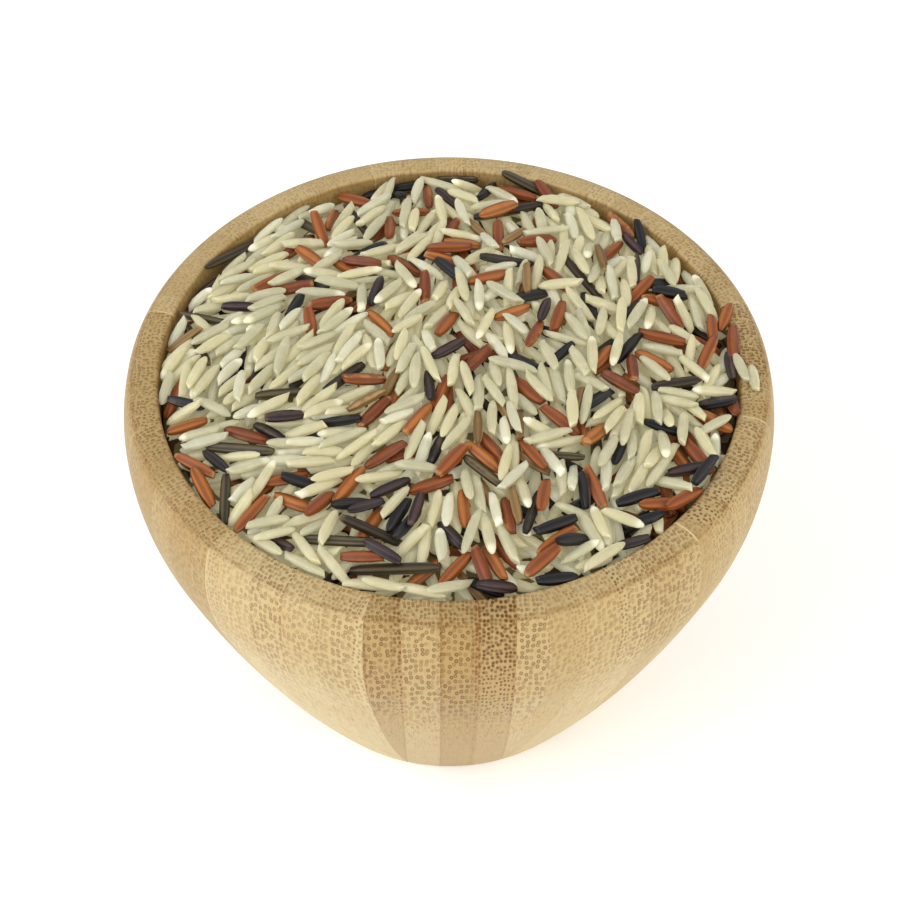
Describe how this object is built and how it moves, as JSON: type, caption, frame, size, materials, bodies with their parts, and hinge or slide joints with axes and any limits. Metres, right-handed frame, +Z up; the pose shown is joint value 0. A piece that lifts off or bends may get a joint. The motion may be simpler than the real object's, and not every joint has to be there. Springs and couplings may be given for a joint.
{
  "type": "bowl of wild rice blend",
  "caption": "Deep turned bamboo bowl heaped to the rim with dry grains of white, red, black and long dark wild rice.",
  "frame": {"origin": "centre of the foot's underside, where the bowl stands", "axes": "+Z up along the bowl's axis; -Y is the side that faces the viewer; +X is to the viewer's right"},
  "size_m": [0.12, 0.12, 0.0901],
  "materials": {
    "bamboo": "satin",
    "white_rice": "satin",
    "red_rice": "satin",
    "black_rice": "satin",
    "wild_rice": "satin",
    "brown_rice": "satin"
  },
  "bodies": {
    "root": {"bowl": "bamboo", "rice_blend": "white_rice"}
  },
  "joints": []
}
